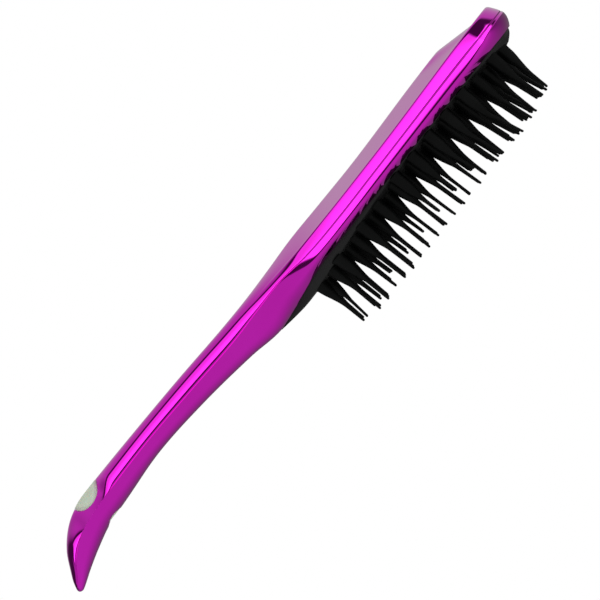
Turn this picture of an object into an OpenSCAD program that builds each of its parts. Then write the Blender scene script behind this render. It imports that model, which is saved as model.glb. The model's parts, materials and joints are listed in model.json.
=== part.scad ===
// Handled detangling brush with a pointed tail, lying bristles down.
// X runs along the brush with +X at the head end, Y across it, and +Z out of its back.
// The origin is under the middle of the brush, in the plane of the longest tooth tips.

/* [Overall] */
// Overall length, tail tip to head end
body_l = 225; // [215:1:235]
// Width of the head
head_w = 62; // [58:0.5:66]
// Width of the handle at its grip
handle_w = 12; // [11.4:0.2:13]
// Width of the handle's tail end, round the hang eyelet
tail_w = 16.2; // [15.6:0.2:17]
// Wall of the two casing shells
wall = 1.6; // [1.2:0.1:1.8]

/* [Head] */
// Height of the crisp rim round the back of the head
rim_z = 31.4; // [30.8:0.1:32]
// Set-in of that rim from the widest line of the head
rim_in = 2; // [1.6:0.1:2.6]
// Set-in of the seam between the two casing shells
seam_in = 0.5; // [0.2:0.1:0.8]
// Set-in of the lower lip, where the pad comes out
lip_in = 3.4; // [3:0.1:3.8]
// Width of the shallow slope up each side of the back
side_slope = 24; // [20:0.5:26]
// Length of the steeper slope at the head end of the back
end_slope = 13; // [11:0.5:14]

/* [Bristle pad] */
// Height of the pad's front face
pad_z = 18.9; // [18.7:0.1:19.3]
// Depth of the pad plate at its middle
pad_t = 5.2; // [4.8:0.1:5.3]
// Radius of the pad's crown, across the brush
crown_r = 90; // [88:2:110]
// Radius of a tooth's wide foot
foot_r = 2.1; // [1.8:0.05:2.2]
// Radius of the foot at its shoulder
shoulder_r = 1.45; // [1.2:0.05:1.6]
// Height of that shoulder
shoulder_z = 14.3; // [13.8:0.1:14.8]
// Height at which a tooth's foot ends and its slim tine starts
neck_z = 10.2; // [9.8:0.1:10.8]

/* [Teeth] */
// Number of lengthwise columns of teeth
columns = 13;
// Distance between columns
column_pitch = 4; // [3.8:0.05:4.1]
// Distance between the teeth of one column
tooth_pitch = 8.1; // [8:0.05:8.2]
// Lead of the short columns' teeth on those of the long ones, towards the tail
lead = 2.1; // [1.8:0.1:2.2]
// Place of the first tooth
first_x = 12.9; // [12.4:0.1:13.2]
// Radius of a tine at its neck
tine_r = 0.62; // [0.6:0.02:0.72]
// Radius of a tine's round tip
tip_r = 0.46; // [0.42:0.02:0.5]
// Height of the middle-length tines' tips, between the longest ones
middle_z = 2.2; // [1.6:0.2:2.8]
// Height of the short tines' tips, away from both ends of the pad
short_z = 4.4; // [3.6:0.2:5]
// Lean of the outermost columns, outwards
splay = 5; // [3:0.5:6]
// Lean of every other column at the head end
drift = 5; // [3:0.5:6]

/* [Hang eyelet] */
// Distance of the eyelet's centre from the middle of the brush, towards the tail
eyelet_x = 87; // [86:0.5:88]
// Radius of the eyelet's face
eyelet_r = 5.7; // [5.2:0.1:5.8]
// Radius of the hang hole
hang_r = 2.2; // [2:0.1:2.4]

/* [Hidden] */

tail_x = -body_l / 2;
head_x = body_l / 2;
tongue_x = -8;
end_x = head_x - 34;
hub_x = head_x - 32;
root_gap = 0.08;
fit_gap = 0.15;
arch_r = 6;
land = 0.5;
plum = [0.72, 0.10, 0.66];
ink = [0.06, 0.07, 0.07];
bone = [0.78, 0.82, 0.75];

// Sections of the casing: distance along X, half width, back, seam and front heights.
// Over the head the last height is that of the lower lip.
SECTIONS = [
    [tail_x, 1.3, 21.3, 20.2, 18.6],
    [tail_x + 3, 3.0, 25.2, 22.2, 19.5],
    [tail_x + 8, 5.5, 30.9, 26.4, 21.3],
    [tail_x + 15, 7.2, 35.4, 30.0, 23.4],
    [tail_x + 23, tail_w / 2 - 0.1, 37.4, 31.4, 25.2],
    [tail_x + 33, tail_w / 2 - 0.6, 37.5, 31.8, 25.9],
    [tail_x + 51, handle_w / 2 + 0.1, 37.1, 31.9, 26.9],
    [tail_x + 72, handle_w / 2, 36.4, 31.0, 25.4],
    [tail_x + 92, handle_w / 2 + 0.6, 35.4, 29.9, 22.7],
    [tongue_x, handle_w / 2 + 2.2, 35.1, 30.0, 20.4],
    [4, head_w * 0.21, 35.3, 30.0, 21.8],
    [16, head_w * 0.315, 35.7, 28.3, 23.2],
    [30, head_w * 0.42, 35.4, 27.7, 23.3],
    [48, head_w * 0.49, 35.1, 27.7, 23.3],
    [head_x - 34, head_w * 0.497, 35.7, 27.8, 23.1],
    [head_x, head_w * 0.497, 35.7, 27.7, 22.8]];

function clamp(v, lo = 0, hi = 1) = min(max(v, lo), hi);
function mix(a, b, k) = a + (b - a) * k;
function ease(lo, hi, x) = let (t = clamp((x - lo) / (hi - lo))) t * t * (3 - 2 * t);

// Smooth cubic through one column of SECTIONS
function slope(i, c) =
    let (a = max(i - 1, 0), b = min(i + 1, len(SECTIONS) - 1))
    (SECTIONS[b][c] - SECTIONS[a][c]) / (SECTIONS[b][0] - SECTIONS[a][0]);
function span_at(x, i = 0) =
    i >= len(SECTIONS) - 2 || x < SECTIONS[i + 1][0] ? i : span_at(x, i + 1);
function section(x, c) =
    let (i = span_at(x), h = SECTIONS[i + 1][0] - SECTIONS[i][0], t = (x - SECTIONS[i][0]) / h)
    SECTIONS[i][c] * (1 + 2 * t) * (1 - t) * (1 - t) + slope(i, c) * h * t * (1 - t) * (1 - t)
    + SECTIONS[i + 1][c] * t * t * (3 - 2 * t) + slope(i + 1, c) * h * t * t * (t - 1);

// Stations along the seam, close together at the tail tip, the neck and the head end
tail_n = 20;
neck_n = 14;
end_n = 12;
last = tail_n + neck_n + end_n;
function station(i) =
    i <= tail_n ? mix(tail_x, tongue_x, pow(i / tail_n, 1.6))
    : i <= tail_n + neck_n ? mix(tongue_x, end_x, pow((i - tail_n) / neck_n, 1.25))
    : mix(end_x, head_x, sin(90 * (i - tail_n - neck_n) / end_n));

// Closing of the round tail tip and of the head end
function tip_close(x) = sqrt(1 - pow(1 - clamp((x - tail_x) / 1.8), 2));
function end_close(x) = pow(1 - pow(clamp((x - end_x) / (head_x - end_x)), 2.6), 1 / 2.2);
function half_w(x) = section(x, 1) * tip_close(x) * end_close(x);
function hub(x) = [min(x, hub_x), 0];
function head_part(x) = ease(-14, 22, x);

// Point at a set-in from the seam line, on the spoke towards the brush's middle line
function spoke(x, side, inset, z) =
    let (c = [x, side * half_w(x)], d = hub(x) - c, l = norm(d), k = l > 0 ? inset / l : 0)
    [c[0] + d[0] * k, c[1] + d[1] * k, z];
function reach(x) = norm([x, half_w(x)] - hub(x));

// Rise of the handle's back, as a share of its height: round, or a rounded gable at the eyelet
gable_c = 0.25;
function gable(y) =
    let (k = norm([1, gable_c])) (k - norm([y, gable_c])) / (k - gable_c);
function gable_part(x) = ease(-103, -94, x) * (1 - ease(-84, -77, x));
function arching(x, t) = mix(sin(90 * t), gable(cos(90 * t)), gable_part(x));

// Set-in and height of the back, from the seam (t = 0) to the middle line (t = 1)
rim_t = 0.36;
function rim_height(x) = rim_z + 0.9 * ease(50, 108, x) + 0.3 * ease(40, 10, x);
function panel_edge(x) = 1 + 6.3 * ease(84, 104, x);
function panel_slope(x) = max(1, min(mix(side_slope, end_slope, ease(84, 104, x)),
    reach(x) - rim_in - panel_edge(x)));
function crown_z(x) = section(min(x, hub_x), 2);
function end_part(x) = ease(90, 110, x);
function seam_at(x) = mix(seam_in, 0.1, end_part(x));
function back_inset(x, t) =
    let (w = reach(x), q = (t - rim_t) / (1 - rim_t),
         up = clamp(t / rim_t),
         grip = w * (1 - cos(90 * t)),
         head = t < rim_t ? mix(seam_at(x), rim_in, up * (0.7 + 0.3 * up)) : mix(rim_in, w, q))
    mix(grip, head, head_part(x));
function back_rise(x, t) =
    let (crown = crown_z(x), seam = section(x, 3), w = reach(x),
         q = (t - rim_t) / (1 - rim_t),
         panel = clamp((mix(rim_in, w, q) - rim_in - panel_edge(x)) / panel_slope(x)),
         grip = (crown - seam) * arching(x, t) * tip_close(x),
         head = t < rim_t ? (rim_height(x) - seam) * t / rim_t
              : rim_height(x) - seam + (crown - rim_height(x)) * panel)
    mix(grip, head, head_part(x));

// Set-in and drop of the front, from the seam (t = 0) to the middle line or the lip (t = 1)
function front_turn(x) = 90 - 45 * ease(tongue_x, 10, x);
function front_inset(x, t) =
    let (widest = mix(0.5, 0.12, end_part(x)), q = clamp(1 - t / widest),
         above = seam_at(x) * (sqrt(q * q + 0.04) - 0.2) / 0.82 * head_part(x),
         below = mix(lip_in, 2.2, end_part(x)) * pow(clamp((t - widest) / (1 - widest)), 2))
    mix(half_w(x) * (1 - cos(front_turn(x) * t)), below, ease(tongue_x, 20, x)) + above;
function front_drop(x, t) =
    let (drop = section(x, 3) - section(x, 4), turn = front_turn(x))
    drop * tip_close(x) * mix(sin(turn * t) / sin(turn), t, ease(tongue_x, 20, x));

// Outer and inner skins; the inner one stops short of the solid tail tip
function hollow(i) = sin(90 * clamp(i / 5));
function inner_x(i) = station(i) + 3 * pow(1 - clamp(i / 10), 2);
function skin(i, side, t, inner, up) =
    let (x = inner ? inner_x(i) : station(i), w = reach(x), seam = section(x, 3),
         thick = min(wall, 0.5 * w) * (up ? 1 : mix(1, 0.4, t * ease(tongue_x, 10, x))),
         inset = up ? back_inset(x, t) : front_inset(x, t),
         rise = up ? back_rise(x, t) : -front_drop(x, t),
         depth = max(1, up ? crown_z(x) - seam : seam - section(x, 4)),
         open = up ? 1 : ease(tongue_x, 4, x),
         floor_k = up ? 1 - thick / depth : mix(1 - thick / depth, 1, open),
         set_in = up ? thick + inset * (w - thick) / max(w, 0.01)
                : mix(thick + inset * (w - thick) / max(w, 0.01), inset + thick, open),
         c = hollow(i))
    inner ? spoke(x, side, w - (w - set_in) * c, seam + rise * floor_k * c)
    : spoke(x, side, inset, seam + rise);

// Grid of one skin, side by side from the right of the tail round the head to the left
grain = 0.001;
function snap(p) = [for (v = p) round(v / grain) * grain];
function skin_points(inner, up, n) = [for (side = [-1, 1]) for (i = [0:last]) for (j = [0:n])
    snap(skin(i, side, j / n, inner, up))];
function apart(p, a, b) = norm(p[a] - p[b]) > grain / 2;
function solid_faces(p, faces) = [for (f = faces)
    if (apart(p, f[0], f[1]) && apart(p, f[1], f[2]) && apart(p, f[2], f[0])) f];
function flip(f, yes) = yes ? f : [f[2], f[1], f[0]];
function quad(a, b, c, d, yes) = [flip([a, b, c], yes), flip([a, c, d], yes)];
function skin_faces(base, n, turn) = [for (s = [0, 1]) for (i = [0:last - 1]) for (j = [0:n - 1])
    let (a = base + (s * (last + 1) + i) * (n + 1) + j, b = a + n + 1)
    each quad(a, b, b + 1, a + 1, turn == (s == 1))];
function edge_faces(base_o, base_i, n_o, n_i, top, from, turn) =
    [for (s = [0, 1]) for (i = [from:last - 1])
    let (o = base_o + (s * (last + 1) + i) * (n_o + 1) + (top ? n_o : 0),
         q = base_i + (s * (last + 1) + i) * (n_i + 1) + (top ? n_i : 0))
    each quad(o, q, q + n_i + 1, o + n_o + 1, turn == (s == 1))];

module shell(up, n_o, n_i) {
    pts = concat(skin_points(false, up, n_o), skin_points(true, up, n_i));
    base = 2 * (last + 1) * (n_o + 1);
    faces = concat(skin_faces(0, n_o, up), skin_faces(base, n_i, !up),
        edge_faces(0, base, n_o, n_i, false, 0, up),
        up ? [] : edge_faces(0, base, n_o, n_i, true, tail_n, true));
    polyhedron(pts, solid_faces(pts, faces), convexity = 8);
}

module back_shell() {
    color(plum) difference() {
        shell(true, 11, 6);
        translate([-eyelet_x, 0, 33]) cylinder(h = 10, r = eyelet_r + fit_gap, $fn = 48);
        translate([-eyelet_x, 0, 28]) cylinder(h = 8, r = hang_r + 1.6, $fn = 48);
    }
}

module front_shell() {
    color(plum) difference() {
        shell(false, 8, 4);
        translate([-eyelet_x, 0, 20]) cylinder(h = 12, r = hang_r + 1.4 + fit_gap, $fn = 48);
    }
}

// Outline of the front opening, from the tongue's point round the head
function opening(i, side, gap) =
    let (x = inner_x(i), l = skin(i, side, 1, true, false), d = hub(x) - [l[0], l[1]], n = norm(d),
         k = n > gap ? gap / n : 1)
    [l[0] + d[0] * k, l[1] + d[1] * k];
function opening_outline(from, gap) = concat(
    [for (i = [from:last]) opening(i, -1, gap)],
    [for (i = [last - 1:-1:from + 1]) opening(i, 1, gap)]);

// Teeth: a column's place across the pad, and the places of its teeth along it
function column_y(c) = (c - (columns + 1) / 2) * column_pitch;
function pad_half_w(x) = half_w(clamp(x, 0, head_x)) - lip_in - foot_r - 0.5;
function is_short(c) = abs(c - (columns + 1) / 2) % 4 == 2;
function is_middle(c) = abs(c - (columns + 1) / 2) % 4 == 3;
function start_x(c) = first_x + (c % 2 == 0 ? tooth_pitch / 2 : is_short(c) ? -lead : 0);
function tooth_xs(c) = [for (x = [start_x(c):tooth_pitch:head_x - 10.2])
    if (abs(column_y(c)) < pad_half_w(x)) x];
function pad_face(y) = pad_z + crown_r - sqrt(crown_r * crown_r - y * y);
function end_rise(x) = 1.4 * pow(clamp((tongue_x + 13 - x) / 13), 1.5) + 2.9 * pow(max(x - 99, 0) / 9.8, 2);
function lean_x(c, x) = (is_short(c) ? mix(2, drift + 4, ease(60, 85, x))
    : c % 2 == 0 ? drift * ease(40, 85, x) : 0) - 3 * ease(28, 12, x);
function lean_y(c) = splay * column_y(c) / column_y(columns);
function tip_z(c, x) =
    (is_short(c) ? short_z * ease(12, 28, x) * ease(78, 66, x) : is_middle(c) ? middle_z : 0)
    + 2.2 * ease(90, 104, x) + 2.4 * ease(18, 8, x);

module bristle_pad() {
    color(ink) {
        intersection() {
            translate([0, 0, pad_z]) linear_extrude(pad_t) polygon(opening_outline(tail_n, fit_gap));
            translate([-20, 0, pad_z + crown_r]) rotate([0, 90, 0])
                cylinder(h = 140, r = crown_r, $fn = 360);
            rotate([90, 0, 0]) linear_extrude(head_w, center = true) polygon(concat(
                [[tongue_x - 2, pad_z + pad_t + 1], [tongue_x - 2, pad_z + 1.7]],
                [for (x = [tongue_x:2:head_x]) [x, pad_z + end_rise(x)]], [[head_x, pad_z + pad_t + 1]]));
        }
        for (c = [1:columns], x = tooth_xs(c)) {
            translate([x, column_y(c), neck_z])
                cylinder(h = shoulder_z - neck_z, r1 = tine_r + 0.1, r2 = shoulder_r, $fn = 24);
            translate([x, column_y(c), shoulder_z])
                cylinder(h = pad_face(column_y(c)) + 0.4 - shoulder_z, r1 = shoulder_r, r2 = foot_r, $fn = 24);
        }
    }
}

module tine(length) {
    sphere(r = tine_r, $fn = 24);
    translate([0, 0, -length]) cylinder(h = length, r1 = tip_r, r2 = tine_r, $fn = 24);
    translate([0, 0, -length]) sphere(r = tip_r, $fn = 24);
}

pivot_z = neck_z - tine_r - root_gap;
module tooth_column(c) {
    color(ink) for (x = tooth_xs(c))
        translate([x, column_y(c), pivot_z]) rotate([lean_y(c), -lean_x(c, x), 0])
            tine((pivot_z - tip_r - tip_z(c, x)) / (cos(lean_y(c)) * cos(lean_x(c, x))));
}

// Inlaid eyelet: a face arched like the handle, on a stem with the hang hole through it
module arch(z) {
    translate([-eyelet_x - 10, 0, z]) rotate([0, 90, 0]) cylinder(h = 20, r = arch_r, $fn = 96);
}
module hang_eyelet() {
    top_z = section(-eyelet_x, 2);
    belly_z = section(-eyelet_x, 4);
    color(bone) difference() {
        union() {
            intersection() {
                translate([-eyelet_x, 0, 33.2]) cylinder(h = 6, r = eyelet_r, $fn = 64);
                arch(top_z + land - arch_r);
            }
            intersection() {
                translate([-eyelet_x, 0, 24]) cylinder(h = 10, r = hang_r + 1.4, $fn = 48);
                arch(belly_z - land + arch_r);
            }
        }
        translate([-eyelet_x, 0, 20]) cylinder(h = 20, r = hang_r, $fn = 48);
        translate([-eyelet_x - 10, -10, top_z]) cube([20, 20, 5]);
        translate([-eyelet_x - 10, -10, belly_z - 5]) cube([20, 20, 5]);
    }
}

back_shell();
front_shell();
bristle_pad();
hang_eyelet();
for (c = [1:columns])
    tooth_column(c);
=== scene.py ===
"""Detangling brush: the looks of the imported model, at the photograph's viewing angle.

The frame gives every place: X along the brush (+X at the head end), +Z out of its back.
Lengths inside the shape functions are millimetres; meshes are made in metres.
"""
import json
import math

import bpy
import numpy as np
from mathutils import Matrix, Vector


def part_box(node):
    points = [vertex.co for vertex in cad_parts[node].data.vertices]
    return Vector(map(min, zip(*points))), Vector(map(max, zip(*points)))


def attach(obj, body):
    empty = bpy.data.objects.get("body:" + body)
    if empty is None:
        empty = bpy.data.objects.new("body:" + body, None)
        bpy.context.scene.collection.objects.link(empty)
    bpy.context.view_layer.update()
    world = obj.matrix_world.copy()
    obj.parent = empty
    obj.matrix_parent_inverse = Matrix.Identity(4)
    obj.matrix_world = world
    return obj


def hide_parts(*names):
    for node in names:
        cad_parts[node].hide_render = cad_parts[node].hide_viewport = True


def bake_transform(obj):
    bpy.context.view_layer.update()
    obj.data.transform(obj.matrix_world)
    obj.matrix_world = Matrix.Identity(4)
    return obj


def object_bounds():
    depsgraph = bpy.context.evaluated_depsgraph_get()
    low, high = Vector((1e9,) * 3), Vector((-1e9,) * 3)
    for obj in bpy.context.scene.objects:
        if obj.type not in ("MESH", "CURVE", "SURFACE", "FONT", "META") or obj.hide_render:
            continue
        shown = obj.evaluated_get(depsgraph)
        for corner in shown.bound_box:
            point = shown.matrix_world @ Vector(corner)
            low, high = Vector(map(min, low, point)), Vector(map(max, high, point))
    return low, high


MM = 0.001

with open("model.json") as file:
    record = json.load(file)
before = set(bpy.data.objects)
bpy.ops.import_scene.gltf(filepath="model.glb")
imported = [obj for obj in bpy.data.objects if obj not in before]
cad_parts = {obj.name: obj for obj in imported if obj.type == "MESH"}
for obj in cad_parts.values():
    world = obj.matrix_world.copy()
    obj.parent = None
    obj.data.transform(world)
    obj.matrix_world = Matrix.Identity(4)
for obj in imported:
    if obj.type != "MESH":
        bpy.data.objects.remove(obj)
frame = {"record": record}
cad_low, cad_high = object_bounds()
record = frame["record"]
mounts = {m["name"]: m for m in record["mounts"]}
joints = {j["name"]: j for j in record["behaviour"]["joints"]}


# ---------------------------------------------------------------- driving sizes, in millimetres

TAIL_X = cad_low[0] / MM
HEAD_X = cad_high[0] / MM
HEAD_W = (cad_high[1] - cad_low[1]) / MM
HANDLE_W = 12.0
TAIL_W = 16.2
TONGUE_X = -8.0
END_X = HEAD_X - 34
HUB_X = HEAD_X - 32
WALL = 1.6
RIM_Z = 31.4
RIM_IN = 2.0
SEAM_IN = 0.5
LIP_IN = 3.4
SIDE_SLOPE = 24.0
END_SLOPE = 13.0
PAD_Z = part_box("bristle_pad")[1][2] / MM - 5.2
CROWN_R = 90.0
FOOT_R = 2.1
NECK_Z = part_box("bristle_pad")[0][2] / MM
TIP_R = 0.45
TOOTH_PITCH = 8.1
FIRST_X = 12.9
LEAD = 2.1
MIDDLE_Z = 2.2
SHORT_Z = 4.4
SPLAY = 5.0
DRIFT = 5.0
EYELET_R = 5.7
ARCH_R = 6.0
LAND = 0.5
HANG_R = mounts["hang_hole"]["dims"]["r_mm"]
EYELET_X = mounts["hang_hole"]["pos_m"][0] / MM
STEM_R = HANG_R + 1.4
EYELET_GAP = 0.15
SEAT_Z = 33.0
PAD_GAP = 0.15
PAD_ROLL = 0.9
END_RISE = 2.2
NECK_RISE = 2.4
COLUMNS = len(joints)
BODY = "brush"

# Shares of the head's profile, from the seam to the middle line: its rim, and the rim's rounding.
RIM_T = 0.36
RIM_LOW = RIM_T - 0.07
RIM_HIGH = RIM_T + 0.016

# Distance along X, half width, back, seam and front heights; over the head the last is the lip's.
SECTIONS = np.array([
    [TAIL_X, 1.3, 21.3, 20.2, 18.6],
    [TAIL_X + 3, 3.0, 25.2, 22.2, 19.5],
    [TAIL_X + 8, 5.5, 30.9, 26.4, 21.3],
    [TAIL_X + 15, 7.2, 35.4, 30.0, 23.4],
    [TAIL_X + 23, TAIL_W / 2 - 0.1, 37.4, 31.4, 25.2],
    [TAIL_X + 33, TAIL_W / 2 - 0.6, 37.5, 31.8, 25.9],
    [TAIL_X + 51, HANDLE_W / 2 + 0.1, 37.1, 31.9, 26.9],
    [TAIL_X + 72, HANDLE_W / 2, 36.4, 31.0, 25.4],
    [TAIL_X + 92, HANDLE_W / 2 + 0.6, 35.4, 29.9, 22.7],
    [TONGUE_X, HANDLE_W / 2 + 2.2, 35.1, 30.0, 20.4],
    [4, HEAD_W * 0.21, 35.3, 30.0, 21.8],
    [16, HEAD_W * 0.315, 35.7, 28.3, 23.2],
    [30, HEAD_W * 0.42, 35.4, 27.7, 23.3],
    [48, HEAD_W * 0.49, 35.1, 27.7, 23.3],
    [HEAD_X - 34, HEAD_W * 0.497, 35.7, 27.8, 23.1],
    [HEAD_X, HEAD_W * 0.497, 35.7, 27.7, 22.8]])


# ---------------------------------------------------------------- shape functions, as in the design

def clamp(v, lo=0.0, hi=1.0):
    return np.clip(v, lo, hi)


def mix(a, b, k):
    return a + (b - a) * k


def ease(lo, hi, x):
    t = clamp((np.asarray(x, float) - lo) / (hi - lo))
    return t * t * (3 - 2 * t)


def section(x, c):
    """Smooth cubic through one column of SECTIONS."""
    x = np.asarray(x, float)
    keys = SECTIONS[:, 0]
    values = SECTIONS[:, c]
    before = np.maximum(np.arange(len(keys)) - 1, 0)
    after = np.minimum(np.arange(len(keys)) + 1, len(keys) - 1)
    slopes = (values[after] - values[before]) / (keys[after] - keys[before])
    i = clamp(np.searchsorted(keys, x, side="right") - 1, 0, len(keys) - 2).astype(int)
    h = keys[i + 1] - keys[i]
    t = (x - keys[i]) / h
    return (values[i] * (1 + 2 * t) * (1 - t) ** 2 + slopes[i] * h * t * (1 - t) ** 2
            + values[i + 1] * t * t * (3 - 2 * t) + slopes[i + 1] * h * t * t * (t - 1))


def tip_close(x):
    """Closes the tail's tip over its last 1.8 mm, as a round end."""
    return np.sqrt(1 - (1 - clamp((x - TAIL_X) / 1.8)) ** 2)


def end_close(x):
    """Closes the head's far end, between a circle and a square."""
    return clamp(1 - clamp((x - END_X) / (HEAD_X - END_X)) ** 2.6) ** (1 / 2.2)


def half_w(x):
    """Half the width of the seam line."""
    return section(x, 1) * tip_close(x) * end_close(x)


def hub(x):
    """Place on the middle line that the spoke from x runs to."""
    return np.minimum(x, HUB_X)


def reach(x):
    """Length of the spoke from the seam line at x."""
    return np.hypot(x - hub(x), half_w(x))


def spoke(x, side, inset, z):
    """Point at a set-in from the seam line, on the spoke towards the brush's middle line."""
    w = half_w(x)
    dx = hub(x) - x
    dy = -side * w
    k = inset / np.maximum(np.hypot(dx, dy), 1e-9)
    return np.stack([x + dx * k, side * w + dy * k, z + 0 * k], axis=-1)


def rim_height(x):
    """Height of the crisp rim of the head's back, which rises towards both ends."""
    return RIM_Z + 0.9 * ease(50, 108, x) + 0.3 * ease(-40, -10, -x)


def head_part(x):
    """How far the handle's round section has turned into the head's, from 0 to 1."""
    return ease(-14, 22, x)


def panel_end(x):
    """How far the back's panel has taken its form at the head's far end, from 0 to 1."""
    return ease(84, 104, x)


def end_part(x):
    """How far the side wall has thinned towards the head's far end, from 0 to 1."""
    return ease(90, 110, x)


def seam_at(x):
    """Set-in of the casing at the seam."""
    return mix(SEAM_IN, 0.1, end_part(x))


def head_profile(x, t):
    """Set-in and rise of the head's back: a rolled side wall, a crisp rim, a shallow panel."""
    w = reach(x)
    seam = section(x, 3)
    crown = section(hub(x), 2)
    q = (t - RIM_T) / (1 - RIM_T)
    up = clamp(t, 0.0, RIM_T) / RIM_T
    side_wall = mix(seam_at(x), RIM_IN, up * (0.7 + 0.3 * up))
    inset = np.where(t < RIM_T, side_wall, mix(RIM_IN, w, q))
    edge = 1 + 6.3 * panel_end(x)
    wanted = mix(SIDE_SLOPE, END_SLOPE, panel_end(x))
    slope = np.maximum(1, np.minimum(wanted, w - RIM_IN - edge))
    panel = clamp((mix(RIM_IN, w, q) - RIM_IN - edge) / slope)
    wall_rise = (rim_height(x) - seam) * t / RIM_T
    top_rise = rim_height(x) - seam + (crown - rim_height(x)) * panel
    return inset, np.where(t < RIM_T, wall_rise, top_rise)


def rounded_head_profile(x, t):
    """head_profile with its rim rounded from RIM_LOW to RIM_HIGH."""
    inset, rise = head_profile(x, t)
    q = clamp((t - RIM_LOW) / (RIM_HIGH - RIM_LOW))
    a = head_profile(x, RIM_LOW + 0 * x)
    b = head_profile(x, RIM_T + 0 * x)
    c = head_profile(x, RIM_HIGH + 0 * x)
    inside = (t > RIM_LOW) & (t < RIM_HIGH)
    curve = [(1 - q) ** 2 * p + 2 * q * (1 - q) * r + q * q * s for p, r, s in zip(a, b, c)]
    return np.where(inside, curve[0], inset), np.where(inside, curve[1], rise)


def arching(x, y):
    """Rise of the handle's back over its height: round, or a rounded gable near the eyelet."""
    soft = 0.25
    k = math.sqrt(1 + soft * soft)
    gable = (k - np.sqrt(y * y + soft * soft)) / (k - soft)
    return mix(np.sqrt(clamp(1 - y * y)), gable, ease(-103, -94, x) * (1 - ease(-84, -77, x)))


def back_surface(x, t):
    """Set-in and rise of the back casing, from the seam (t = 0) to the middle line (t = 1)."""
    k = head_part(x)
    w = reach(x)
    inset, rise = rounded_head_profile(x, t)
    across = np.cos(math.pi / 2 * t)
    grip_inset = w * (1 - across)
    grip_rise = (section(hub(x), 2) - section(x, 3)) * arching(x, across) * tip_close(x)
    return mix(grip_inset, inset, k), mix(grip_rise, rise, k)


def front_surface(x, t):
    """Set-in and drop of the front casing, from the seam to the middle line or the pad's lip."""
    turn = np.radians(90 - 45 * ease(TONGUE_X, 10, x))
    k = ease(TONGUE_X, 20, x)
    drop = section(x, 3) - section(x, 4)
    widest = mix(0.5, 0.12, end_part(x))
    above = seam_at(x) * (np.sqrt(clamp(1 - t / widest) ** 2 + 0.04) - 0.2) / 0.82 * head_part(x)
    below = mix(LIP_IN, 2.2, end_part(x)) * clamp((t - widest) / (1 - widest)) ** 2
    inset = mix(half_w(x) * (1 - np.cos(turn * t)), below, k) + above
    return inset, -drop * tip_close(x) * mix(np.sin(turn * t) / np.sin(turn), t, k)


# ---------------------------------------------------------------- stations and skins

def stations(tail_n, neck_n, end_n):
    """Places along X, closer together at the tail's tip and the head's far end."""
    tail = mix(TAIL_X, TONGUE_X, (np.arange(tail_n) / tail_n) ** 1.6)
    neck = mix(TONGUE_X, END_X, (np.arange(neck_n) / neck_n) ** 1.25)
    end = mix(END_X, HEAD_X, np.sin(math.pi / 2 * np.arange(end_n + 1) / end_n))
    return np.concatenate([tail, neck, end])


TAIL_N, NECK_N, END_N = 110, 90, 60
STATIONS = stations(TAIL_N, NECK_N, END_N)
# The casing's inside starts 3 mm from the tail's tip, and opens over the first stations.
INNER_X = STATIONS + 3 * clamp(1 - np.arange(len(STATIONS)) / (TAIL_N / 2)) ** 2
CLOSING = np.sin(math.pi / 2 * clamp(np.arange(len(STATIONS)) / (TAIL_N / 4)))


def groove(t, depth=0.22, width=0.03):
    """Rounded shoulder of the back casing at the seam, which makes the shadow line."""
    return depth * np.exp(-(t / width) ** 2)


def outer_skin(side, t, up):
    """Row of points on the casing's outside."""
    x = STATIONS
    inset, rise = (back_surface if up else front_surface)(x, t + 0 * x)
    w = reach(x)
    if up:
        inset = np.minimum(inset + groove(t) * ease(0, 4, w), w)
    return spoke(x, side, inset, section(x, 3) + rise)


def inner_skin(side, t, up):
    """Row of points on the casing's inside, a wall's thickness in from the outside."""
    x = INNER_X
    w = reach(x)
    seam = section(x, 3)
    inset, rise = (back_surface if up else front_surface)(x, t + 0 * x)
    thin = 1 if up else mix(1, 0.4, t * ease(TONGUE_X, 10, x))
    thick = np.minimum(WALL, 0.5 * w) * thin
    depth = np.maximum(1, section(hub(x), 2) - seam if up else seam - section(x, 4))
    opened = 1 if up else ease(TONGUE_X, 4, x)
    shrunk = thick + inset * (w - thick) / np.maximum(w, 0.01)
    floor_k = 1 - thick / depth
    if not up:
        floor_k = mix(floor_k, 1, opened)
        shrunk = mix(shrunk, inset + thick, opened)
    return spoke(x, side, w - (w - shrunk) * CLOSING, seam + rise * floor_k * CLOSING)


def new_object(name, verts, faces, sharp_deg=40.0):
    """Smooth-shaded mesh object, with sharp edges above sharp_deg."""
    mesh = bpy.data.meshes.new(name)
    mesh.from_pydata([tuple(v) for v in verts], [], [tuple(f) for f in faces])
    mesh.validate()
    mesh.shade_smooth()
    mesh.set_sharp_from_angle(angle=math.radians(sharp_deg))
    obj = bpy.data.objects.new(name, mesh)
    bpy.context.scene.collection.objects.link(obj)
    return obj


def weld(verts, faces, eps=1e-7):
    """Joins coincident points and drops the faces that collapse."""
    keys = np.round(np.asarray(verts) / eps).astype(np.int64)
    _, first, inverse = np.unique(keys, axis=0, return_index=True, return_inverse=True)
    inverse = inverse.reshape(-1)
    points = np.asarray(verts)[first]
    kept = []
    for f in faces:
        g = []
        for v in (inverse[i] for i in f):
            if v not in g:
                g.append(int(v))
        if len(g) > 2:
            kept.append(g)
    return points, kept


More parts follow.
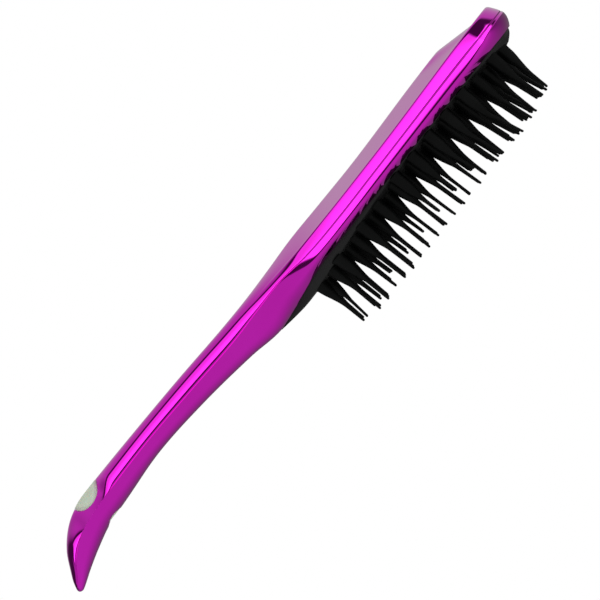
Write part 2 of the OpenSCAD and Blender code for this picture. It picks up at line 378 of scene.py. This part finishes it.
def shell_mesh(name, up, outer_t, inner_t):
    """Closed casing half: its outside, its inside, and the strips that join them at the edges."""
    n = len(STATIONS)
    points = []
    faces = []
    index = {}
    for label, ts, skin in (("outer", outer_t, outer_skin), ("inner", inner_t, inner_skin)):
        for side in (-1, 1):
            grid = np.stack([skin(side, t, up) for t in ts], axis=1)
            index[label, side] = len(points) + np.arange(n * len(ts)).reshape(n, len(ts))
            points.extend(grid.reshape(-1, 3))
    for label in ("outer", "inner"):
        for side in (-1, 1):
            ids = index[label, side]
            turn = (side == 1) ^ (label == "inner") ^ (not up)
            for i in range(n - 1):
                for j in range(ids.shape[1] - 1):
                    f = [ids[i, j], ids[i + 1, j], ids[i + 1, j + 1], ids[i, j + 1]]
                    faces.append(f[::-1] if turn else f)
    for side in (-1, 1):
        strips = [(0, 0, (side == 1) ^ (not up))]
        if not up:
            strips.append((-1, TAIL_N, side == 1))
        for j, start, turn in strips:
            o = index["outer", side][:, j]
            q = index["inner", side][:, j]
            for i in range(start, n - 1):
                f = [o[i], q[i], q[i + 1], o[i + 1]]
                faces.append(f[::-1] if turn else f)
    points, faces = weld(np.array(points) * MM, faces)
    return new_object(name, points, faces)


def cut_round(obj, x, radius, z_low, z_high, segments=96):
    """Cuts a round hole along Z through obj, with an exact boolean that is applied at once."""
    ring = [(x + radius * math.cos(2 * math.pi * k / segments),
             radius * math.sin(2 * math.pi * k / segments)) for k in range(segments)]
    verts = [(a * MM, b * MM, z * MM) for z in (z_low, z_high) for a, b in ring]
    faces = [list(range(segments))[::-1], list(range(segments, 2 * segments))]
    faces += [[k, (k + 1) % segments, segments + (k + 1) % segments, segments + k]
              for k in range(segments)]
    tool = new_object("hole_tool", verts, faces)
    cut = obj.modifiers.new("hole", "BOOLEAN")
    cut.operation = "DIFFERENCE"
    cut.solver = "EXACT"
    cut.object = tool
    depsgraph = bpy.context.evaluated_depsgraph_get()
    result = bpy.data.meshes.new_from_object(obj.evaluated_get(depsgraph))
    obj.modifiers.clear()
    obj.data = result
    bpy.data.objects.remove(tool)


# ---------------------------------------------------------------- materials

def new_material(name):
    """New material with its node tree and its shader."""
    material = bpy.data.materials.new(name)
    material.use_nodes = True
    tree = material.node_tree
    return material, tree, tree.nodes["Principled BSDF"]


def noise(tree, scale, detail=3.0, roughness=0.5):
    """Noise over the piece, in its own coordinates."""
    coords = tree.nodes.new("ShaderNodeTexCoord")
    node = tree.nodes.new("ShaderNodeTexNoise")
    node.inputs["Scale"].default_value = scale
    node.inputs["Detail"].default_value = detail
    node.inputs["Roughness"].default_value = roughness
    tree.links.new(coords.outputs["Object"], node.inputs["Vector"])
    return node.outputs["Fac"]


def ramp(tree, source, stops):
    """Colour ramp from (place, colour) stops."""
    node = tree.nodes.new("ShaderNodeValToRGB")
    elements = node.color_ramp.elements
    while len(elements) < len(stops):
        elements.new(0.5)
    for element, (place, colour) in zip(elements, stops):
        element.position = place
        element.color = (*colour, 1.0)
    tree.links.new(source, node.inputs["Fac"])
    return node.outputs["Color"]


def remap(tree, source, low, high):
    """Spreads source, from 0 to 1, over low to high."""
    node = tree.nodes.new("ShaderNodeMapRange")
    node.inputs["To Min"].default_value = low
    node.inputs["To Max"].default_value = high
    tree.links.new(source, node.inputs["Value"])
    return node.outputs["Result"]


def bump(tree, source, shader, strength, distance):
    """Relief on the shader's normal."""
    node = tree.nodes.new("ShaderNodeBump")
    node.inputs["Strength"].default_value = strength
    node.inputs["Distance"].default_value = distance
    tree.links.new(source, node.inputs["Height"])
    tree.links.new(node.outputs["Normal"], shader.inputs["Normal"])


def magenta_chrome():
    """Tinted vacuum-metallised gloss, with faint haze, handling marks and moulding ripple."""
    material, tree, shader = new_material("magenta_chrome")
    shader.inputs["Metallic"].default_value = 1.0
    shader.inputs["Specular Tint"].default_value = (1.0, 0.90, 0.97, 1.0)
    shader.inputs["Coat Weight"].default_value = 0.3
    shader.inputs["Coat Roughness"].default_value = 0.04
    tint = ramp(tree, noise(tree, 24.0, 4.0),
                [(0.3, (0.86, 0.012, 0.70)), (0.7, (0.92, 0.018, 0.78))])
    tree.links.new(tint, shader.inputs["Base Color"])
    haze = remap(tree, noise(tree, 55.0, 6.0, 0.65), 0.03, 0.10)
    tree.links.new(haze, shader.inputs["Roughness"])
    bump(tree, noise(tree, 38.0, 1.5), shader, 0.06, 0.0006)
    return material


def black_elastomer(name, streaks, gloss):
    """Satin black moulded elastomer with a fine mould grain."""
    material, tree, shader = new_material(name)
    shader.inputs["Specular IOR Level"].default_value = gloss
    colour = ramp(tree, noise(tree, 90.0, 4.0),
                  [(0.3, (0.0009, 0.0012, 0.0011)), (0.7, (0.0022, 0.0027, 0.0025))])
    tree.links.new(colour, shader.inputs["Base Color"])
    rough = remap(tree, noise(tree, streaks, 3.0), 0.36, 0.56)
    tree.links.new(rough, shader.inputs["Roughness"])
    bump(tree, noise(tree, 1400.0, 2.0), shader, 0.12, 0.0001)
    return material


def bone_plastic():
    """Off-white moulded plastic, a little translucent, with a faint mottle."""
    material, tree, shader = new_material("bone_plastic")
    colour = ramp(tree, noise(tree, 160.0, 4.0),
                  [(0.25, (0.46, 0.52, 0.42)), (0.75, (0.49, 0.55, 0.45))])
    tree.links.new(colour, shader.inputs["Base Color"])
    rough = remap(tree, noise(tree, 240.0, 3.0), 0.28, 0.42)
    tree.links.new(rough, shader.inputs["Roughness"])
    shader.inputs["Subsurface Weight"].default_value = 0.15
    shader.inputs["Subsurface Scale"].default_value = 0.002
    bump(tree, noise(tree, 500.0, 2.0), shader, 0.05, 0.0001)
    return material


# ---------------------------------------------------------------- pieces

def finish_piece(obj, material, slot, body, *nodes):
    """Gives a rigid piece its material and body, and hides the nodes that it replaces; slot is not
    used.
    """
    obj.data.materials.clear()
    obj.data.materials.append(material)
    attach(obj, body)
    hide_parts(*nodes)


def levels(*spans):
    """Levels from 0 to 1, from (end, count) spans."""
    out = [0.0]
    for end, count in spans:
        out.extend(np.linspace(out[-1], end, count + 1)[1:])
    return out


def casing():
    """Back and front casing, with the eyelet's seat, its socket and its stem's hole cut out."""
    chrome = magenta_chrome()
    outer = levels((0.1, 10), (RIM_LOW, 8), (RIM_HIGH, 8), (0.6, 10), (1.0, 12))
    back = shell_mesh("casing_back", True, outer, levels((1.0, 8)))
    cut_round(back, EYELET_X, EYELET_R + EYELET_GAP, SEAT_Z, SEAT_Z + 10)
    cut_round(back, EYELET_X, HANG_R + 1.6, SEAT_Z - 5, SEAT_Z + 1)
    outer = levels((0.06, 6), (0.9, 16), (1.0, 4))
    front = shell_mesh("casing_front", False, outer, levels((1.0, 8)))
    cut_round(front, EYELET_X, STEM_R + EYELET_GAP, 20.0, 32.0)
    finish_piece(back, chrome, "casing", BODY, "back_shell")
    finish_piece(front, chrome, "casing", BODY, "front_shell")


def pad_face(x, y):
    """Height of the pad's front face: crowned across, with the tongue rising to its point."""
    crown = PAD_Z + CROWN_R - np.sqrt(CROWN_R ** 2 - np.asarray(y, float) ** 2)
    tongue = 1.4 * clamp((TONGUE_X + 13 - x) / 13) ** 1.5
    end = 2.9 * (np.maximum(x - 99, 0) / 9.8) ** 2
    return np.maximum(crown, PAD_Z + tongue + end)


def bristle_pad(rubber):
    """Pad with a rolled edge under the lip, a crowned face and a long tongue."""
    rows = slice(TAIL_N, None)
    x = INNER_X[rows]
    centre = np.stack([hub(x), 0 * x], axis=-1)
    roll = [(math.pi / 2 * k / 7) for k in range(8)]
    grids = []

    def face_under(lip, xy):
        return np.minimum(pad_face(xy[:, 0], xy[:, 1]), lip[:, 2] - 0.05)

    for side in (-1, 1):
        lip = inner_skin(side, 1.0, False)[rows]
        d = centre - lip[:, :2]
        length = np.maximum(np.hypot(d[:, 0], d[:, 1]), 1e-9)

        def ring(inset, fall):
            xy = lip[:, :2] + d * (np.minimum(inset, length) / length)[:, None]
            return np.column_stack([xy, mix(lip[:, 2] + 0.6, face_under(lip, xy), fall)])

        rings = [ring(PAD_GAP, 0.0)]
        rings += [ring(PAD_GAP + PAD_ROLL * (1 - math.cos(a)), 0.55 + 0.45 * math.sin(a))
                  for a in roll]
        start = rings[-1][:, :2]
        for s in np.linspace(0, 1, 13)[1:]:
            xy = mix(start, centre, s)
            rings.append(np.column_stack([xy, face_under(lip, xy)]))
        grids.append(np.stack(rings, axis=1))
    n, m = grids[0].shape[:2]
    points = np.concatenate([g.reshape(-1, 3) for g in grids])
    faces = []
    for base, side in ((0, -1), (n * m, 1)):
        for i in range(n - 1):
            for j in range(m - 1):
                a = base + i * m + j
                f = [a, a + m, a + m + 1, a + 1]
                faces.append(f if side == 1 else f[::-1])
    faces.append([i * m for i in range(n)] + [n * m + i * m for i in range(n - 2, 0, -1)])
    points, faces = weld(points * MM, faces)
    obj = new_object("pad_skin", points, faces, 50.0)
    finish_piece(obj, rubber, "pad", BODY, "bristle_pad")


def column_y(c):
    """Place across of a column of teeth, from its joint."""
    return joints["column_%02d_flex" % c]["pos_m"][1] / MM


def kind(c):
    """0 and 1 for a long column, 2 for a short one, 3 for one of middle length."""
    return abs(c - (COLUMNS + 1) / 2) % 4


def tooth_places(c):
    """Places along X of a column's teeth: those that have room on the pad."""
    offset = 0
    if c % 2 == 0:
        offset = TOOTH_PITCH / 2
    elif kind(c) == 2:
        offset = -LEAD
    xs = np.arange(FIRST_X + offset, HEAD_X - 10.2 + 1e-6, TOOTH_PITCH)
    room = half_w(clamp(xs, 0, HEAD_X)) - LIP_IN - FOOT_R - 0.5
    return xs[abs(column_y(c)) < room]


# Radius of a tooth at each height, from its foot down to its tip
TOOTH_Z = [0.0, 5.0, 9.0, 10.2, 12.0, 14.5, 16.6, 17.2]
TOOTH_R = [0.40, 0.46, 0.55, 0.66, 0.92, 1.42, 1.87, 2.0]


def tooth_rings(c, x, rng):
    """Centre, radius and height of each ring of one tooth, from inside the pad to its tip."""
    y = column_y(c)
    short_z = SHORT_Z * ease(12, 28, x) * (1 - ease(66, 78, x))
    tip_z = {2: short_z, 3: MIDDLE_Z}.get(kind(c), 0)
    tip_z = tip_z + END_RISE * ease(90, 104, x) + NECK_RISE * ease(-18, -8, -x)
    tip_z += rng.uniform(0.0, 0.6) if kind(c) < 2 else rng.uniform(-0.5, 0.5)
    lean = 0
    if kind(c) == 2:
        lean = mix(2, 9, ease(60, 85, x))
    elif c % 2 == 0:
        lean = DRIFT * ease(40, 85, x)
    lean_x = math.radians(lean - 3 * ease(-28, -12, -x) + rng.normal(0, 0.9))
    lean_y = math.radians(SPLAY * y / column_y(COLUMNS) + rng.normal(0, 1.0))
    face = float(pad_face(x, y))
    fall = rng.uniform(-0.25, 0.25)
    outline = [(face + 0.6, FOOT_R + 0.5), (face - 0.1, FOOT_R + 0.3),
               (face - 0.45, FOOT_R + 0.12), (face - 0.9, FOOT_R + 0.05)]
    for z in np.linspace(min(face - 1.3, TOOTH_Z[-1]), tip_z + TIP_R, 16):
        outline.append((z, float(np.interp(z - fall, TOOTH_Z, TOOTH_R))))
    end_r = outline[-1][1]
    for a in np.linspace(0, math.pi / 2, 6)[1:]:
        outline.append((tip_z + TIP_R * (1 - math.sin(a)), end_r * math.cos(a)))
    rings = []
    for z, r in outline:
        drop = max(0.0, NECK_Z + 3.0 - z)
        bend = drop * min(1.0, drop / 4.0)
        rings.append((x + math.tan(lean_x) * bend, y + math.tan(lean_y) * bend, z, max(r, 0.02)))
    return rings


def tooth_column(c, rubber, sides=16):
    """One column's teeth, as one mesh whose teeth lean more towards their tips."""
    rng = np.random.default_rng(700 + c)
    angles = 2 * math.pi * np.arange(sides) / sides
    points = []
    faces = []
    for x in tooth_places(c):
        rings = tooth_rings(c, x, rng)
        base = len(points)
        for cx, cy, z, r in rings:
            points.extend((cx + r * math.cos(a), cy + r * math.sin(a), z) for a in angles)
        for k in range(len(rings) - 1):
            for s in range(sides):
                a = base + k * sides + s
                b = base + k * sides + (s + 1) % sides
                faces.append([a, a + sides, b + sides, b])
        faces.append([base + s for s in range(sides)])
        faces.append([base + (len(rings) - 1) * sides + s for s in range(sides)][::-1])
    obj = new_object("teeth_%02d" % c, np.array(points) * MM, faces, 60.0)
    obj.data.materials.append(rubber)
    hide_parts("tooth_column_%02d" % c)
    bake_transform(obj)


def crown_height(x, y):
    """Height of the eyelet's face: arched like the handle, with a flat round the hole."""
    top = section(EYELET_X, 2)
    arch = top + LAND - ARCH_R + np.sqrt(clamp(ARCH_R ** 2 - y * y, 0, 99))
    return np.minimum(np.minimum(top, section(x, 2) + 0.04), arch)


def belly_height(x, y):
    """Height of the stem's lower end, arched the other way."""
    low = section(EYELET_X, 4)
    return 0.35 + np.maximum(low, low - LAND + ARCH_R - np.sqrt(clamp(ARCH_R ** 2 - y * y, 0, 99)))


def hang_eyelet(plastic, around=96):
    """Inlaid eyelet: a face that follows the handle's crown, a stem, and the hang hole."""
    angles = 2 * math.pi * np.arange(around) / around
    quarter = np.linspace(0, math.pi / 2, 6)

    def ring(radius, surface, lift):
        px = EYELET_X + radius * np.cos(angles)
        py = radius * np.sin(angles)
        pz = surface(px, py) + lift if surface else lift + 0 * px
        return np.column_stack([px, py, pz])

    rings = [ring(HANG_R, None, z) for z in np.linspace(SEAT_Z - 6, SEAT_Z + 2.6, 8)]
    rings += [ring(HANG_R + 0.3 * (1 - math.cos(a)), crown_height, 0.3 * (math.sin(a) - 1))
              for a in quarter]
    rings += [ring(r, crown_height, 0) for r in np.linspace(HANG_R + 0.5, EYELET_R - 0.4, 14)]
    rings += [ring(EYELET_R - 0.3 * (1 - math.sin(a)), crown_height, 0.3 * (math.cos(a) - 1))
              for a in quarter]
    rings += [ring(EYELET_R, None, SEAT_Z + 0.3), ring(STEM_R, None, SEAT_Z + 0.2),
              ring(STEM_R, None, SEAT_Z - 6)]
    rings += [ring(STEM_R - 0.2 * (1 - math.cos(a)), belly_height, 0.2 * (1 - math.sin(a)))
              for a in quarter]
    rings += [ring(HANG_R + 0.3 * (1 - math.sin(a)), belly_height, 0.3 * (1 - math.cos(a)))
              for a in quarter]
    points = np.concatenate(rings)
    count = len(rings)
    faces = [[k * around + s, k * around + (s + 1) % around,
              (k + 1) % count * around + (s + 1) % around, (k + 1) % count * around + s]
             for k in range(count) for s in range(around)]
    obj = new_object("eyelet_inlay", points * MM, faces, 45.0)
    finish_piece(obj, plastic, "eyelet", BODY, "hang_eyelet")


# ---------------------------------------------------------------- camera, floor and studio

def camera():
    """Level with the brush, on its side, rolled so that the tail points down to the left."""
    roll = math.radians(52)
    field = math.radians(10.72)
    data = bpy.data.cameras.new("camera")
    data.sensor_width = 36
    data.lens = data.sensor_width / (2 * math.tan(field / 2))
    data.clip_end = 20
    obj = bpy.data.objects.new("camera", data)
    bpy.context.scene.collection.objects.link(obj)
    middle_y = (cad_low[1] + cad_high[1]) / 2
    aim = Vector((0.0028, 0.0, 0.0216))
    place = Vector((0.0488, middle_y - 1.0, 0.030))
    forward = (aim - place).normalized()
    up_hint = Vector((math.sin(roll), 0, math.cos(roll)))
    right = forward.cross(up_hint).normalized()
    up = right.cross(forward)
    turn = Matrix((right, up, -forward)).transposed().to_4x4()
    obj.matrix_world = Matrix.Translation(place) @ turn
    bpy.context.scene.camera = obj


class Graph:
    """Small helper that writes maths as nodes."""

    def __init__(self, tree):
        self.tree = tree

    def node(self, operation, *values):
        """Maths node on numbers or sockets."""
        n = self.tree.nodes.new("ShaderNodeMath")
        n.operation = operation
        for i, v in enumerate(values):
            if isinstance(v, (int, float)):
                n.inputs[i].default_value = v
            else:
                self.tree.links.new(v, n.inputs[i])
        return n.outputs[0]

    def step(self, value, low, high):
        """Smooth step from 0 at low to 1 at high."""
        n = self.tree.nodes.new("ShaderNodeMapRange")
        n.interpolation_type = "SMOOTHSTEP"
        n.inputs["From Min"].default_value = low
        n.inputs["From Max"].default_value = high
        self.tree.links.new(value, n.inputs["Value"])
        return n.outputs["Result"]

    def band(self, value, low, high, soft):
        """1 between low and high, with soft edges."""
        rise = self.step(value, low - soft, low + soft)
        fall = self.step(value, high + soft, high - soft)
        return self.node("MULTIPLY", rise, fall)


def studio():
    """White surroundings for the camera, and a soft studio for reflections and light."""
    world = bpy.data.worlds.new("studio")
    bpy.context.scene.world = world
    world.use_nodes = True
    tree = world.node_tree
    tree.nodes.clear()
    g = Graph(tree)
    coords = tree.nodes.new("ShaderNodeTexCoord")
    split = tree.nodes.new("ShaderNodeSeparateXYZ")
    tree.links.new(coords.outputs["Generated"], split.inputs["Vector"])
    x, y, z = split.outputs
    degrees = 180 / math.pi
    front = g.node("MULTIPLY", y, -1.0)

    # Angles in degrees: over the brush from its front, along it, round it, and above its level.
    over = g.node("MULTIPLY", g.node("ARCTAN2", z, front), degrees)
    along = g.node("MULTIPLY", g.node("ARCSINE", x), degrees)
    turn = g.node("MULTIPLY", g.node("ARCTAN2", x, front), degrees)
    rise = g.node("MULTIPLY", g.node("ARCSINE", z), degrees)

    # The large softbox narrows towards its top edge, and is brighter low down.
    height = g.step(over, 26, 85)
    left = g.node("ADD", g.node("MULTIPLY", height, 24.0), -66.0)
    right = g.node("ADD", g.node("MULTIPLY", height, -17.0), 67.0)
    inside = g.node("MULTIPLY", g.step(g.node("SUBTRACT", along, left), -3, 3),
                    g.step(g.node("SUBTRACT", right, along), -3, 3))
    softbox = g.node("ADD", 1.2, g.node("MULTIPLY", g.step(over, 62, 34), 1.0))

    # A dark flag past the head end, and a glow from below that fades out underneath.
    flag = g.node("MULTIPLY", g.band(turn, 58, 122, 5), g.band(rise, 6, 64, 5))
    gap = g.node("SUBTRACT", 1.0, flag)
    glow = g.node("ADD", g.node("MULTIPLY", g.step(over, -165, -60), 0.42), 0.12)

    rear = g.node("MULTIPLY", g.band(over, 92, 182, 4), gap)
    parts = [
        (g.node("MULTIPLY", g.band(over, -180, 8, 2), gap), glow),
        (g.node("MULTIPLY", g.band(over, 26, 78, 3), inside), softbox),
        (g.node("MULTIPLY", g.band(turn, 62, 104, 5), g.band(rise, 10, 22, 3)), 2.2),
        (g.node("MULTIPLY", g.band(over, 10, 92, 3), g.step(along, -58, -76)), 0.42),
        (g.node("MULTIPLY", rear, g.step(along, -40, -14)), 0.54),
    ]
    total = 0.06
    for mask, level in parts:
        total = g.node("ADD", g.node("MULTIPLY", mask, level), total)

    # Matt surfaces are lit evenly, and the camera sees plain white.
    path = tree.nodes.new("ShaderNodeLightPath")
    even = g.node("MULTIPLY", path.outputs["Is Diffuse Ray"], g.node("SUBTRACT", 1.15, total))
    total = g.node("ADD", total, even)
    light = tree.nodes.new("ShaderNodeBackground")
    tree.links.new(total, light.inputs["Strength"])
    white = tree.nodes.new("ShaderNodeBackground")
    white.inputs["Strength"].default_value = 1.0
    white.inputs["Color"].default_value = (1, 1, 1, 1)
    blend = tree.nodes.new("ShaderNodeMixShader")
    tree.links.new(path.outputs["Is Camera Ray"], blend.inputs["Fac"])
    tree.links.new(light.outputs[0], blend.inputs[1])
    tree.links.new(white.outputs[0], blend.inputs[2])
    out = tree.nodes.new("ShaderNodeOutputWorld")
    tree.links.new(blend.outputs[0], out.inputs["Surface"])
    bpy.context.scene.view_settings.view_transform = "Standard"


def floor():
    """Plain pale floor, well below the brush, which hangs in front of a white surround."""
    half = 3.3
    z = cad_low[2] - 0.60
    verts = [(-half, -half, z), (half, -half, z), (half, half, z), (-half, half, z)]
    obj = new_object("floor", verts, [[0, 1, 2, 3]])
    material, tree, shader = new_material("pale_floor")
    colour = ramp(tree, noise(tree, 3.0),
                  [(0.3, (0.95, 0.95, 0.95)), (0.7, (0.97, 0.97, 0.97))])
    tree.links.new(colour, shader.inputs["Base Color"])
    shader.inputs["Roughness"].default_value = 1.0
    obj.data.materials.append(material)
    obj.visible_glossy = False


def main():
    """Builds the stage and every visible piece."""
    camera()
    studio()
    floor()
    casing()
    bristle_pad(black_elastomer("pad_elastomer", 60.0, 0.45))
    rubber = black_elastomer("tooth_elastomer", 300.0, 0.12)
    for c in range(1, COLUMNS + 1):
        tooth_column(c, rubber)
    hang_eyelet(bone_plastic())


main()
